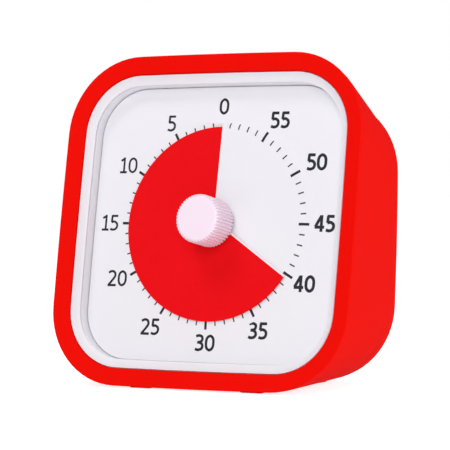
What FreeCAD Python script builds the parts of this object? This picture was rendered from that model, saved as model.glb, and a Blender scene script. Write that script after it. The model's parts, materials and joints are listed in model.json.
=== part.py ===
import FreeCAD, Part
import math
import os

"""A 60 minute visual countdown timer in a red silicone cover.

Every piece is drawn in the face frame: x to the right, y up the face, z out of
the face, with zero at the middle of the dial. Pieces on the back are drawn in
the rear frame, whose z points inwards from the tilted back. stand() then leans
the finished timer back until its underside is level. Sizes are in millimetres.
"""

V = FreeCAD.Vector
os.makedirs("parts", exist_ok=True)

# Cover, measured on its front rim and its back edge
RIM_HALF_W, RIM_HALF_H, RIM_R = 46.13, 46.7, 22.1
RIM_Z = 6.83
BACK_HALF_W, BACK_HALF_H, BACK_R = 39.03, 40.06, 21.3
BACK_RISE = 1.75
BACK_Z = -37.0
BACK_TILT = 6.8
BOW = 0.15
SKIN = 2.5
LIP_HALF_W, LIP_HALF_H, LIP_R = 41.3, 41.64, 16.96
LIP_Z = 5.51
LIP_BACK_Z = 4.0
BACK_LIP = 3.5
PAD_IN, PAD_OUT, PAD_PROUD, PAD_ROOT = 14.0, 20.5, 0.5, 1.0
PAD_FROM_RIM, PAD_FROM_BACK = 3.0, 5.0

# White housing
FIT = 0.1
WALL = 2.0
SPLIT_Z = -12.0
LAP_LOW, LAP_HIGH, LAP_GAP, LAP_THICK = 3.0, 1.8, 0.05, 0.95
WINDOW_HALF, WINDOW_R = 38.85, 14.2
WINDOW_TOP_HALF, WINDOW_TOP_Z = 38.9, 3.5
BEZEL_TOP_Z = 5.45
POSTS = [(27.0, 28.0), (-27.0, 28.0), (30.5, -14.0), (-30.5, -14.0)]
POST_R, POST_BORE_R = 3.2, 1.35
SCREW_SEAT_R, SCREW_SEAT_DEEP = 2.5, 9.0

# Dial and the red disc, two spiral plates of one pitch
DIAL_HALF_W, DIAL_HALF_H, DIAL_R = 40.1, 40.5, 17.4
DIAL_THICK = 0.8
PITCH = 1.0
SLIT_ANGLE = -1.0
DISC_GAP = PITCH / 2
WHITE_THICK, RED_THICK = 0.3, 0.24
SHEET_SWEEP = 359.0
WHITE_R, WHITE_HOLE_R = 27.75, 4.6
RED_R = 27.3
SHOWN_ANGLE = 240.0
RING_IN, RING_OUT, RING_DEPTH = 27.65, 28.2, 1.4
HUB_R, HUB_HALF = 4.1, 1.6

# Knob and centre shaft
KNOB_R, KNOB_TOP_Z, KNOB_BASE_Z = 6.8, 10.3, 1.4
KNOB_RIBS, RIB_DEPTH, KNOB_CROWN = 44, 0.3, 1.5
KNOB_RECESS_R, KNOB_RECESS_Z = 4.7, 3.1
SHAFT_R, SHAFT_FLAT = 2.5, 2.1
SHAFT_TOP_Z, SHAFT_FLAT_Z = 8.3, -3.1
SHAFT_RUN = 0.06
COLLAR_R, COLLAR_Z, COLLAR_THICK = 4.0, -15.0, 1.0
PIVOT_R, PIVOT_END_Z = 1.2, -22.3

# Movement bracket, movement case and its fixing on the bush
BRACKET_HALF_W, BRACKET_HALF_H, BRACKET_R = 38.9, 39.1, 17.3
BRACKET_WALL = 1.5
BRACKET_Z0, BRACKET_Z1, BRACKET_TOP = -7.6, -6.4, -0.85
MOVE_HALF_W, MOVE_LOW, MOVE_HIGH, MOVE_R = 23.0, -13.5, 30.0, 2.5
MOVE_FRONT_Z, MOVE_SPLIT_Z, MOVE_BACK_Z = -9.0, -15.0, -23.0
MOVE_WALL = 1.2
BUSH_R, BUSH_TOP_Z = 3.5, -3.7
NUT_FLATS, NUT_Z0, NUT_Z1 = 9.5, -6.0, -4.0
EARS = [(25.0, -1.0), (-25.0, -1.0), (0.0, 32.0)]

# Gear train
MODULE = 0.3
PRESSURE = math.radians(25)
ADDENDUM, DEDENDUM, BACKLASH = 0.8, 1.05, 0.06
WHEEL_THICK, PINION_LONG, PINION_OVER = 0.8, 1.8, 0.4
ARBOR_R, ARBOR_RUN, ARBOR_TOP_Z = 0.5, 0.06, -9.7
MAGNET_R, MAGNET_Z0, MAGNET_Z1 = 2.2, -19.2, -14.5
OUTPUT_TEETH, WHEEL_TEETH, FIRST_TEETH = 80, 60, 50
PINION_TEETH, ROTOR_TEETH = 10, 8
LEVEL_OUTPUT, LEVEL_THIRD, LEVEL_SECOND, LEVEL_FIRST = -12.6, -16.0, -18.6, -20.7

# Back panel, in the rear frame
BAY_HALF_W, BAY_LOW, BAY_HIGH, BAY_DEEP = 27.8, -31.0, -15.3, 19.4
BAY_WALL = 1.4
DOOR_GAP, DOOR_THICK = 0.35, 1.6
PIN_R, PIN_LONG, PIN_RUN = 0.5, 1.0, 0.06
CELL_R, CELL_LONG, NUB_R, NUB_LONG = 7.1, 49.2, 2.7, 1.3
LEAF_HALF, LEAF_RISE, LEAF_THICK, LEAF_WIDE = 4.0, 2.7, 0.3, 5.0
SOUND_Y, SOUND_R, SLOT_STEP, SLOT_WIDE = 24.0, 10.0, 3.0, 1.5
SWITCH_X, SWITCH_Y, SWITCH_TRAVEL = -20.0, 6.0, 2.2
SWITCH_HALF_W, SWITCH_HALF_H, SLOT_HALF_H = 1.5, 1.3, 1.6
BOARD_POSTS = [(-27.5, 1.0), (-13.5, 11.5)]
BOARD_Z0, BOARD_Z1, BOARD_POST_R, BOARD_BORE_R = 10.2, 11.4, 1.8, 0.75
BUZZER_R, BUZZER_Z0, BUZZER_THICK = 11.0, 6.2, 0.3
BUZZER_SEAT_IN, BUZZER_SEAT_OUT, BUZZER_SEAT_TOP = 11.3, 12.5, 8.0


def outline(half_w, half_h, r, bow=BOW, rise=0.0, z=0.0):
    """A rounded rectangle whose four sides bow out a little, tangent to its corners."""
    cx, cy, d = half_w - r - bow, half_h - r - bow, r + bow
    side = (cy * cy + (d - r) * (d + r)) / (2 * bow)
    crown = (cx * cx + (d - r) * (d + r)) / (2 * bow)
    to_side = V(cx - (half_w - side), cy, 0).normalize() * r
    to_crown = V(cx, cy - (half_h - crown), 0).normalize() * r
    to_mid = (to_side + to_crown).normalize() * r
    centre = V(cx, cy, 0)
    quarter = [centre + to_side, centre + to_mid, centre + to_crown]
    corners = []
    for sx, sy in ((1, 1), (-1, 1), (-1, -1), (1, -1)):
        points = [V(sx * p.x, sy * p.y + rise, z) for p in quarter]
        corners.append(points if sx * sy > 0 else points[::-1])
    middles = [V(0, half_h + rise, z), V(-half_w, rise, z), V(0, rise - half_h, z), V(half_w, rise, z)]
    edges = []
    for i, (points, middle) in enumerate(zip(corners, middles)):
        edges.append(Part.Arc(*points).toShape())
        edges.append(Part.Arc(points[2], middle, corners[(i + 1) % 4][0]).toShape())
    return Part.Wire(edges)


def turned_x(shape, degrees, move=V(0, 0, 0)):
    """A copy turned about the x axis, then moved."""
    out = shape.copy()
    out.rotate(V(0, 0, 0), V(1, 0, 0), degrees)
    out.translate(move)
    return out


def on_back(shape):
    """Place a shape drawn in the rear frame."""
    return turned_x(shape, BACK_TILT, V(0, 0, BACK_Z))


def prism(wire, height):
    """A flat outline pushed along z."""
    return Part.Face(wire).extrude(V(0, 0, height))


def box(x0, x1, y0, y1, z0, z1):
    return Part.makeBox(x1 - x0, y1 - y0, z1 - z0, V(x0, y0, z0))


def rod(r, z0, z1, x=0.0, y=0.0):
    return Part.makeCylinder(r, z1 - z0, V(x, y, z0))


def along_x(r, x0, x1, y, z):
    return Part.makeCylinder(r, x1 - x0, V(x0, y, z), V(1, 0, 0))


def tube(r_in, r_out, z0, z1, x=0.0, y=0.0):
    return rod(r_out, z0, z1, x, y).cut(rod(r_in, z0 - 1, z1 + 1, x, y))


def mix(a, b, f):
    return a + (b - a) * f


def shell_loft(inset, z_front, z_back):
    """The timer's tapering body, inset from the cover, from a face plane to a rear plane."""
    depth = RIM_Z - BACK_Z
    wires = []
    for f, z, rear in ((1 - z_back / depth, z_back, True), ((RIM_Z - z_front) / depth, z_front, False)):
        wire = outline(mix(RIM_HALF_W, BACK_HALF_W, f) - inset, mix(RIM_HALF_H, BACK_HALF_H, f) - inset,
                       mix(RIM_R, BACK_R, f) - inset, rise=mix(0, BACK_RISE, f), z=z)
        wires.append(on_back(wire) if rear else wire)
    return Part.makeLoft(wires, True, True)


def spiral_plate(r_in, r_out, thick, start, sweep, z_start):
    """A plate that climbs at the common pitch, from the angle start through sweep degrees."""
    height = PITCH * sweep / 360
    z0, z1 = z_start - thick / 2, z_start + thick / 2
    rails = {}
    for r in (r_in, r_out):
        for z in (z0, z1):
            helix = Part.makeHelix(PITCH, height, r)
            helix.translate(V(0, 0, z))
            rails[(r, z)] = helix.Edges[0]
    pairs = [((r_in, z0), (r_out, z0)), ((r_in, z1), (r_out, z1)),
             ((r_in, z0), (r_in, z1)), ((r_out, z0), (r_out, z1))]
    faces = [Part.makeRuledSurface(rails[a], rails[b]) for a, b in pairs]
    end = math.radians(sweep)
    for angle, lift in ((0.0, 0.0), (end, height)):
        ray = V(math.cos(angle), math.sin(angle), 0)
        corners = [ray * r_in + V(0, 0, z0 + lift), ray * r_out + V(0, 0, z0 + lift),
                   ray * r_out + V(0, 0, z1 + lift), ray * r_in + V(0, 0, z1 + lift)]
        faces.append(Part.Face(Part.makePolygon(corners + corners[:1])))
    shell = Part.makeShell(faces)
    shell.sewShape()
    plate = Part.makeSolid(shell)
    if plate.Volume < 0:
        plate.reverse()
    plate.rotate(V(0, 0, 0), V(0, 0, 1), 90 + start)
    return plate


def gear(teeth, z0, z1, phase, bore=0.0, x=0.0, y=0.0):
    """A stub tooth involute gear with a tooth centred on the angle phase, in radians."""
    pitch_r = MODULE * teeth / 2
    base_r = pitch_r * math.cos(PRESSURE)
    root_r, tip_r = pitch_r - DEDENDUM * MODULE, pitch_r + ADDENDUM * MODULE
    start_r = max(base_r, root_r)
    half_pitch = math.pi / (2 * teeth) - BACKLASH / (2 * pitch_r)

    def half_angle(r):
        a = math.acos(min(1.0, base_r / r))
        return half_pitch + (math.tan(PRESSURE) - PRESSURE) - (math.tan(a) - a)

    radii = [root_r] + [mix(start_r, tip_r, i / 3) for i in range(4)]
    points = []
    for tooth in range(teeth):
        middle = phase + 2 * math.pi * tooth / teeth
        flank = [(r, half_angle(max(r, start_r))) for r in radii]
        both = [(r, middle - a) for r, a in flank] + [(r, middle + a) for r, a in reversed(flank)]
        points += [V(x + r * math.cos(a), y + r * math.sin(a), z0) for r, a in both]
    blank = Part.Face(Part.makePolygon(points + points[:1])).extrude(V(0, 0, z1 - z0))
    return blank.cut(rod(bore, z0 - 1, z1 + 1, x, y)) if bore else blank


def polar(x, y, reach, degrees):
    a = math.radians(degrees)
    return x + reach * math.cos(a), y + reach * math.sin(a)


def screw(x, y, z_head, z_tip, r, head_r, head_thick, towards=1):
    """A pan head screw along z with a cross recess. towards is 1 when its tip is at higher z."""
    z_under = z_head + towards * head_thick
    body = rod(head_r, min(z_head, z_under), max(z_head, z_under), x, y)
    body = body.fuse(rod(r, min(z_under, z_tip), max(z_under, z_tip), x, y))
    depth, arm, half = head_thick * 0.6, head_r * 0.6, head_r * 0.14
    low, high = sorted((z_head - towards, z_head + towards * depth))
    body = body.cut(box(x - arm, x + arm, y - half, y + half, low, high))
    return body.cut(box(x - half, x + half, y - arm, y + arm, low, high)).removeSplitter()


# Leaning the timer back until its underside is level
TILT = math.radians(BACK_TILT)
rim_low = (-RIM_HALF_H, RIM_Z)
back_low_y, back_high_y = BACK_RISE - BACK_HALF_H, BACK_RISE + BACK_HALF_H
back_low = (back_low_y * math.cos(TILT), BACK_Z + back_low_y * math.sin(TILT))
back_high = (back_high_y * math.cos(TILT), BACK_Z + back_high_y * math.sin(TILT))
LEAN = math.atan2(back_low[0] - rim_low[0], rim_low[1] - back_low[1])


def stood(point):
    """Depth and height in the row frame, before the last shift, of a point (y, z) of the face frame."""
    y, z = point
    return y * math.sin(LEAN) - z * math.cos(LEAN), y * math.cos(LEAN) + z * math.sin(LEAN)


SHIFT_Y = -(stood(rim_low)[0] + stood(back_high)[0]) / 2
SHIFT_Z = PAD_PROUD - stood(rim_low)[1]


def stand(shape):
    return turned_x(shape, 90 - math.degrees(LEAN), V(0, SHIFT_Y, SHIFT_Z))


def save(name, shape, placed=False):
    """Write one sub-part in the row frame and report it."""
    out = shape if placed else stand(shape)
    if len(out.Solids) == 1:
        out = out.Solids[0]
    out.exportStep("parts/%s.step" % name)
    print("%-22s solids %d valid %s volume %.2f" % (name, len(out.Solids), out.isValid(), out.Volume))


# Silicone cover with its two resting pads
cover = shell_loft(0, RIM_Z, 0).cut(shell_loft(SKIN, LIP_BACK_Z, SKIN - 0.4))
dish = Part.makeLoft([outline(LIP_HALF_W, LIP_HALF_H, LIP_R, z=LIP_Z),
                      outline(RIM_HALF_W, RIM_HALF_H, RIM_R, z=RIM_Z + 0.001)], True, True)
cover = cover.cut(dish)
cover = cover.cut(prism(outline(LIP_HALF_W, LIP_HALF_H, LIP_R, z=LIP_BACK_Z - 1), RIM_Z))
back_hole = outline(BACK_HALF_W - BACK_LIP, BACK_HALF_H - BACK_LIP, BACK_R - BACK_LIP, rise=BACK_RISE, z=-1)
cover = stand(cover.cut(on_back(prism(back_hole, SKIN + 2))))
pad_front = stood(rim_low)[0] + SHIFT_Y + PAD_FROM_RIM
pad_back = stood(back_low)[0] + SHIFT_Y - PAD_FROM_BACK
for side in (1, -1):
    x0, x1 = sorted((side * PAD_IN, side * PAD_OUT))
    cover = cover.fuse(box(x0, x1, pad_front, pad_back, 0, PAD_PROUD + PAD_ROOT))
cover = cover.removeSplitter()
save("silicone_cover", cover, placed=True)

# White front bezel with the recessed window
housing = shell_loft(SKIN + FIT, LIP_BACK_Z - FIT, SKIN - 0.4 + FIT)
hollow = shell_loft(SKIN + FIT + WALL, 0.05, SKIN - 0.4 + FIT + WALL)
FAR = 80.0
front_half = box(-FAR, FAR, -FAR, FAR, SPLIT_Z, FAR)
frame = outline(LIP_HALF_W - FIT, LIP_HALF_H - FIT, LIP_R - FIT, z=LIP_BACK_Z - 1)
bezel = housing.common(front_half).fuse(prism(frame, BEZEL_TOP_Z - LIP_BACK_Z + 1))
bezel = bezel.cut(hollow)
window_low = outline(WINDOW_HALF, WINDOW_HALF, WINDOW_R, z=-0.5)
window_top = outline(WINDOW_TOP_HALF, WINDOW_TOP_HALF, WINDOW_R, z=WINDOW_TOP_Z)
slope_top = outline(LIP_HALF_W - 0.2, LIP_HALF_H - 0.2, LIP_R - 0.2, z=BEZEL_TOP_Z)
bezel = bezel.cut(Part.makeLoft([window_low, window_top], True, True))
bezel = bezel.cut(Part.makeLoft([window_top, slope_top], True, True))
save("front_bezel", bezel.removeSplitter())

# Rear housing: tapered shell, lap lip, screw posts, battery bay, sound slots and switch slot
rear_z0 = SKIN - 0.4 + FIT
rear_in = rear_z0 + WALL
rear = housing.cut(box(-FAR, FAR, -FAR, FAR, SPLIT_Z - FIT, FAR)).cut(hollow)
lap_z = SPLIT_Z - LAP_LOW
lap = shell_loft(SKIN + FIT + WALL + LAP_GAP, 0.0, rear_in)
lap = lap.common(box(-FAR, FAR, -FAR, FAR, lap_z, SPLIT_Z + LAP_HIGH))
lap = lap.fuse(housing.common(box(-FAR, FAR, -FAR, FAR, lap_z, SPLIT_Z - FIT)))
lap = lap.cut(shell_loft(SKIN + FIT + WALL + LAP_GAP + LAP_THICK, 1.0, rear_in + 1))
rear = rear.fuse(lap)
for x, y in POSTS:
    rear = rear.fuse(rod(POST_R, BACK_Z - SCREW_SEAT_DEEP, SPLIT_Z - FIT, x, y).common(housing))
rear = rear.fuse(on_back(box(-BAY_HALF_W - BAY_WALL, BAY_HALF_W + BAY_WALL, BAY_LOW - BAY_WALL,
                             BAY_HIGH + BAY_WALL, rear_z0, BAY_DEEP + BAY_WALL)))
rear = rear.fuse(on_back(tube(BUZZER_SEAT_IN, BUZZER_SEAT_OUT, rear_in - 0.5, BUZZER_SEAT_TOP, 0, SOUND_Y)))
for x, y in BOARD_POSTS:
    rear = rear.fuse(on_back(rod(BOARD_POST_R, rear_in - 0.5, BOARD_Z0, x, y)))
rear = rear.cut(on_back(box(-BAY_HALF_W, BAY_HALF_W, BAY_LOW, BAY_HIGH, -1, BAY_DEEP)))
hinge_y, hinge_z = BAY_LOW + DOOR_GAP + DOOR_THICK / 2, rear_z0 + DOOR_THICK / 2
pin_end = BAY_HALF_W + PIN_LONG
rear = rear.cut(on_back(along_x(PIN_R + PIN_RUN, -pin_end - PIN_RUN, pin_end + PIN_RUN, hinge_y, hinge_z)))
for x, y in POSTS:
    hole = rod(POST_BORE_R, -FAR, SPLIT_Z + 1, x, y)
    seat = rod(SCREW_SEAT_R, -FAR, BACK_Z + SCREW_SEAT_DEEP + y * math.tan(TILT), x, y)
    rear = rear.cut(hole).cut(seat)
slot_x = -3 * SLOT_STEP
while slot_x <= 3 * SLOT_STEP:
    half = math.sqrt(SOUND_R ** 2 - slot_x ** 2)
    rear = rear.cut(on_back(box(slot_x - SLOT_WIDE / 2, slot_x + SLOT_WIDE / 2,
                                SOUND_Y - half, SOUND_Y + half, 0, rear_in + 0.5)))
    slot_x += SLOT_STEP
slot_half = SWITCH_HALF_W + SWITCH_TRAVEL + 0.3
rear = rear.cut(on_back(box(SWITCH_X - slot_half, SWITCH_X + slot_half,
                            SWITCH_Y - SLOT_HALF_H, SWITCH_Y + SLOT_HALF_H, 0, rear_in + 0.5)))
for x, y in BOARD_POSTS:
    rear = rear.cut(on_back(rod(BOARD_BORE_R, rear_in + 1.5, BOARD_Z0 + 1, x, y)))
save("rear_housing", rear.removeSplitter())

# Dial plate and the slit dial disc in its hole
dial = prism(outline(DIAL_HALF_W, DIAL_HALF_H, DIAL_R, z=-DIAL_THICK), DIAL_THICK)
save("dial_plate", dial.cut(rod(RING_OUT + 0.05, -5, 5)))
slit_half = (360 - SHEET_SWEEP) / 2
white = spiral_plate(WHITE_HOLE_R, WHITE_R, WHITE_THICK, SLIT_ANGLE + slit_half, SHEET_SWEEP, -PITCH / 2)
save("dial_disc", white.fuse(tube(RING_IN, RING_OUT, -RING_DEPTH, 0)))

# Red disc on its keyed hub
hub_bore = rod(SHAFT_R + SHAFT_RUN, -9, 9).common(
    box(-SHAFT_FLAT - SHAFT_RUN, SHAFT_FLAT + SHAFT_RUN, -9, 9, -9, 9))
red_start = SLIT_ANGLE + SHOWN_ANGLE - SHEET_SWEEP
red_z = -PITCH / 2 + DISC_GAP + PITCH * (red_start - SLIT_ANGLE) / 360
red = spiral_plate(HUB_R - 0.5, RED_R, RED_THICK, red_start, SHEET_SWEEP, red_z)
save("red_disc", red.fuse(rod(HUB_R, -HUB_HALF, HUB_HALF)).cut(hub_bore))

# Knob: a fine ribbed drum with a smooth front edge
rib_points = []
for i in range(KNOB_RIBS):
    for k, r in ((0.0, KNOB_R - RIB_DEPTH), (0.3, KNOB_R), (0.7, KNOB_R)):
        a = 2 * math.pi * (i + k) / KNOB_RIBS
        rib_points.append(V(r * math.cos(a), r * math.sin(a), KNOB_BASE_Z))
ribbed_top = KNOB_TOP_Z - KNOB_CROWN - 0.3
ribbed = Part.Face(Part.makePolygon(rib_points + rib_points[:1])).extrude(V(0, 0, ribbed_top - KNOB_BASE_Z))
crown = rod(KNOB_R, ribbed_top, KNOB_TOP_Z)
crown = crown.makeFillet(KNOB_CROWN, [e for e in crown.Edges if abs(e.BoundBox.ZMin - KNOB_TOP_Z) < 0.01
                                      and abs(e.BoundBox.ZMax - KNOB_TOP_Z) < 0.01])
flatted = box(-SHAFT_FLAT, SHAFT_FLAT, -9, 9, SHAFT_FLAT_Z, SHAFT_TOP_Z)
knob = ribbed.fuse(crown).cut(rod(KNOB_RECESS_R, 0, KNOB_RECESS_Z))
save("knob", knob.cut(rod(SHAFT_R, 0, SHAFT_TOP_Z).common(flatted)))

# Centre shaft, clutch spring and retaining clip
shaft = rod(SHAFT_R, COLLAR_Z, SHAFT_FLAT_Z).fuse(rod(SHAFT_R, SHAFT_FLAT_Z, SHAFT_TOP_Z).common(flatted))
shaft = shaft.fuse(rod(COLLAR_R, COLLAR_Z, COLLAR_Z + COLLAR_THICK)).fuse(rod(PIVOT_R, PIVOT_END_Z, COLLAR_Z))
save("centre_shaft", shaft.removeSplitter())
spring_z0, spring_z1 = COLLAR_Z + COLLAR_THICK, LEVEL_OUTPUT - 0.1
profile = [V(SHAFT_R + 0.1, 0, spring_z0), V(SHAFT_R + 1.2, 0, spring_z0), V(6.4, 0, spring_z1 - 0.3),
           V(6.4, 0, spring_z1), V(6.0, 0, spring_z1), V(SHAFT_R + 0.1, 0, spring_z0 + 0.3)]
save("clutch_spring", Part.Face(Part.makePolygon(profile + profile[:1])).revolve(V(0, 0, 0), V(0, 0, 1), 360))
OUTPUT_THICK = 1.2
clip_z = LEVEL_OUTPUT + OUTPUT_THICK + 0.1
clip = tube(SHAFT_R, 4.2, clip_z, clip_z + 0.6).cut(box(-1.2, 1.2, -9, 0, clip_z - 1, clip_z + 2))
save("shaft_clip", clip)

# Gear train: the centres run from the dial wheel back to the rotor
wheel_gap = MODULE * (WHEEL_TEETH + PINION_TEETH) / 2
THIRD_WAY, SECOND_WAY, FIRST_WAY, ROTOR_WAY = 60.0, 140.0, 195.0, 225.0
third = polar(0, 0, MODULE * (OUTPUT_TEETH + PINION_TEETH) / 2, THIRD_WAY)
second = polar(*third, wheel_gap, SECOND_WAY)
first = polar(*second, wheel_gap, FIRST_WAY)
rotor_at = polar(*first, MODULE * (FIRST_TEETH + ROTOR_TEETH) / 2, ROTOR_WAY)
output_z1 = LEVEL_OUTPUT + OUTPUT_THICK
output_phase = math.radians(THIRD_WAY)
save("output_wheel", gear(OUTPUT_TEETH, LEVEL_OUTPUT, output_z1, output_phase, SHAFT_R + SHAFT_RUN))


def arbor(at, wheel_teeth, wheel_z, wheel_way, pinion_z, pinion_way):
    """A wheel and a pinion on one arbor. The wheel has a tooth, the pinion a gap, on each line of centres."""
    x, y = at
    wheel = gear(wheel_teeth, wheel_z, wheel_z + WHEEL_THICK, math.radians(wheel_way), 0, x, y)
    gap_phase = math.radians(pinion_way) + math.pi + math.pi / PINION_TEETH
    pinion_z0 = pinion_z - PINION_OVER
    pinion = gear(PINION_TEETH, pinion_z0, pinion_z0 + PINION_LONG, gap_phase, 0, x, y)
    return wheel.fuse(pinion).fuse(rod(ARBOR_R, PIVOT_END_Z, ARBOR_TOP_Z, x, y)).removeSplitter()


save("third_wheel", arbor(third, WHEEL_TEETH, LEVEL_THIRD, SECOND_WAY, LEVEL_OUTPUT, THIRD_WAY))
save("second_wheel", arbor(second, WHEEL_TEETH, LEVEL_SECOND, FIRST_WAY, LEVEL_THIRD, SECOND_WAY))
save("first_wheel", arbor(first, FIRST_TEETH, LEVEL_FIRST, ROTOR_WAY, LEVEL_SECOND, FIRST_WAY))
rotor_phase = math.radians(ROTOR_WAY) + math.pi + math.pi / ROTOR_TEETH
rotor = gear(ROTOR_TEETH, LEVEL_FIRST - 0.3, LEVEL_FIRST + 1.3, rotor_phase, 0, *rotor_at)
rotor = rotor.fuse(rod(MAGNET_R, MAGNET_Z0, MAGNET_Z1, *rotor_at))
save("rotor", rotor.fuse(rod(ARBOR_R, PIVOT_END_Z, ARBOR_TOP_Z, *rotor_at)).removeSplitter())

# Stepping motor: stator, bobbin and winding
STATOR_Z0, STATOR_Z1 = -17.4, -16.6
CORE_Y, CORE_Z = -9.0, -17.0
STATOR_BARS = [(-21.4, -12.6, 5.5, 13.6), (-21.4, -19.4, CORE_Y - 1, 6.0), (-14.6, -12.6, -2.0, 6.0),
               (-14.6, -5.0, -2.0, 0.0), (-7.0, -5.0, CORE_Y - 1, 0.0), (-21.4, -5.0, CORE_Y - 1, CORE_Y + 1)]
stator_bars = [box(*bar, STATOR_Z0, STATOR_Z1) for bar in STATOR_BARS]
stator = stator_bars[0].multiFuse(stator_bars[1:])
save("stator", stator.cut(rod(MAGNET_R + 0.5, -20, -14, *rotor_at)).removeSplitter())

core_hole = box(-30, 0, CORE_Y - 1.05, CORE_Y + 1.05, STATOR_Z0 - 0.05, STATOR_Z1 + 0.05)
bobbin = along_x(1.6, -18.8, -7.6, CORE_Y, CORE_Z)
for x in (-18.8, -8.2):
    bobbin = bobbin.fuse(along_x(3.2, x, x + 0.6, CORE_Y, CORE_Z))
save("coil_bobbin", bobbin.cut(core_hole).removeSplitter())
save("coil_winding", along_x(2.9, -18.15, -8.25, CORE_Y, CORE_Z).cut(along_x(1.65, -20, 0, CORE_Y, CORE_Z)))

# Movement circuit board with its chip, and the quartz crystal
board = box(3.2, 21.0, -11.8, 6.0, -20.4, -19.4)
board = board.fuse(box(6.0, 11.0, -6.0, -1.0, -19.4, -18.4))
save("circuit_board", board.removeSplitter())
save("quartz_crystal", Part.makeCylinder(1.1, 6.0, V(16.0, -10.5, -18.25), V(0, 1, 0)))

# Movement case halves, screwed together through three ears
centre_y, half_y = (MOVE_LOW + MOVE_HIGH) / 2, (MOVE_HIGH - MOVE_LOW) / 2


def tray(z_floor, z_floor_in, z_open):
    """Half of the movement case: a rounded box, open on the side of z_open."""
    low, high = sorted((z_floor, z_open))
    outside = prism(outline(MOVE_HALF_W, half_y, MOVE_R, 0.02, centre_y, low), high - low)
    low, high = sorted((z_floor_in, z_open + (1 if z_open > z_floor else -1)))
    inner = outline(MOVE_HALF_W - MOVE_WALL, half_y - MOVE_WALL, MOVE_R - MOVE_WALL, 0.02, centre_y, low)
    inside = prism(inner, high - low)
    return outside, inside


def cased(z_floor, z_floor_in, z_open, ear_z0, ear_z1, hole_r):
    outside, inside = tray(z_floor, z_floor_in, z_open)
    for x, y in EARS:
        outside = outside.fuse(box(x - 2.8, x + 2.8, y - 2.8, y + 2.8, ear_z0, ear_z1))
    outside = outside.cut(inside)
    for x, y in EARS:
        outside = outside.cut(rod(hole_r, ear_z0 - 1, ear_z1 + 1, x, y))
    return outside


bearings = [third, second, first, rotor_at]
front_in = MOVE_FRONT_Z - MOVE_WALL
front_case = cased(MOVE_FRONT_Z, front_in, MOVE_SPLIT_Z, MOVE_SPLIT_Z, MOVE_SPLIT_Z + 2.0, 0.85)
front_case = front_case.fuse(rod(BUSH_R, front_in, BUSH_TOP_Z)).cut(rod(SHAFT_R + SHAFT_RUN, -30, 0))
back_case = cased(MOVE_BACK_Z, MOVE_BACK_Z + MOVE_WALL, MOVE_SPLIT_Z - 0.05, MOVE_SPLIT_Z - 1.5,
                  MOVE_SPLIT_Z - 0.05, 0.95)
for at in bearings:
    front_case = front_case.cut(rod(ARBOR_R + ARBOR_RUN, -12, MOVE_FRONT_Z - 0.5, *at))
    back_case = back_case.cut(rod(ARBOR_R + ARBOR_RUN, PIVOT_END_Z - 0.2, -20, *at))
back_case = back_case.cut(rod(PIVOT_R + ARBOR_RUN, PIVOT_END_Z - 0.2, -20))
save("movement_front_case", front_case.removeSplitter())
save("movement_back_case", back_case.removeSplitter())
screws = [screw(x, y, MOVE_SPLIT_Z - 2.6, MOVE_SPLIT_Z + 1.8, 0.8, 1.7, 1.0) for x, y in EARS]
save("movement_screws", Part.makeCompound(screws))

# Movement bracket, washer, nut and the long screws from the back
bracket = prism(outline(BRACKET_HALF_W, BRACKET_HALF_H, BRACKET_R, z=BRACKET_Z0), BRACKET_TOP - BRACKET_Z0)
bracket = bracket.cut(prism(outline(BRACKET_HALF_W - BRACKET_WALL, BRACKET_HALF_H - BRACKET_WALL,
                                    BRACKET_R - BRACKET_WALL, z=BRACKET_Z1), 20))
for x, y in POSTS:
    bracket = bracket.fuse(rod(3.0, SPLIT_Z + FIT, BRACKET_Z0, x, y))
for x, y in POSTS:
    bracket = bracket.cut(rod(1.25, SPLIT_Z - 1, BRACKET_Z0 + 0.6, x, y))
save("movement_bracket", bracket.cut(rod(BUSH_R + 0.05, -20, 0)).removeSplitter())
save("bush_washer", tube(BUSH_R + 0.05, 6.0, BRACKET_Z1, NUT_Z0 - 0.02))
hexagon = [V(*polar(0, 0, NUT_FLATS / math.sqrt(3), 60 * i), NUT_Z0) for i in range(6)]
nut = Part.Face(Part.makePolygon(hexagon + hexagon[:1])).extrude(V(0, 0, NUT_Z1 - NUT_Z0))
save("bush_nut", nut.cut(rod(BUSH_R, -20, 0)))
long_screws = []
for x, y in POSTS:
    seat_z = BACK_Z + SCREW_SEAT_DEEP + y * math.tan(TILT)
    long_screws.append(screw(x, y, seat_z - 1.4, BRACKET_Z0 + 0.4, 1.2, 2.3, 1.4))
save("housing_screws", Part.makeCompound(long_screws))

# Battery, its contacts and the door
cell_y, cell_z = (BAY_LOW + BAY_HIGH) / 2, rear_z0 + DOOR_THICK + CELL_R + 0.5
cell_x0 = -24.6
cell = along_x(CELL_R, cell_x0, cell_x0 + CELL_LONG, cell_y, cell_z)
cell = cell.fuse(along_x(NUB_R, cell_x0, cell_x0 + CELL_LONG + NUB_LONG, cell_y, cell_z))
save("aa_battery", on_back(cell.removeSplitter()))
plate_x = BAY_HALF_W - 0.05
positive = box(plate_x - 0.4, plate_x, cell_y - 5, cell_y + 5, cell_z - 5, cell_z + 5)
positive = positive.fuse(along_x(2.4, cell_x0 + CELL_LONG + NUB_LONG + 0.02, plate_x, cell_y, cell_z))
save("positive_contact", on_back(positive.removeSplitter()))
negative = box(-plate_x, -plate_x + 0.4, cell_y - 5, cell_y + 5, cell_z - 5, cell_z + 5)
leaf_out = (LEAF_HALF ** 2 + LEAF_RISE ** 2) / (2 * LEAF_RISE)
leaf_x = cell_x0 - 0.02 - leaf_out
leaf = tube(leaf_out - LEAF_THICK, leaf_out, cell_z - LEAF_WIDE / 2, cell_z + LEAF_WIDE / 2, leaf_x, cell_y)
leaf = leaf.common(box(0.2 - plate_x, cell_x0, cell_y - 9, cell_y + 9, cell_z - 9, cell_z + 9))
save("negative_contact", on_back(negative.fuse(leaf).removeSplitter()))
door_x = BAY_HALF_W - DOOR_GAP
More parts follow.
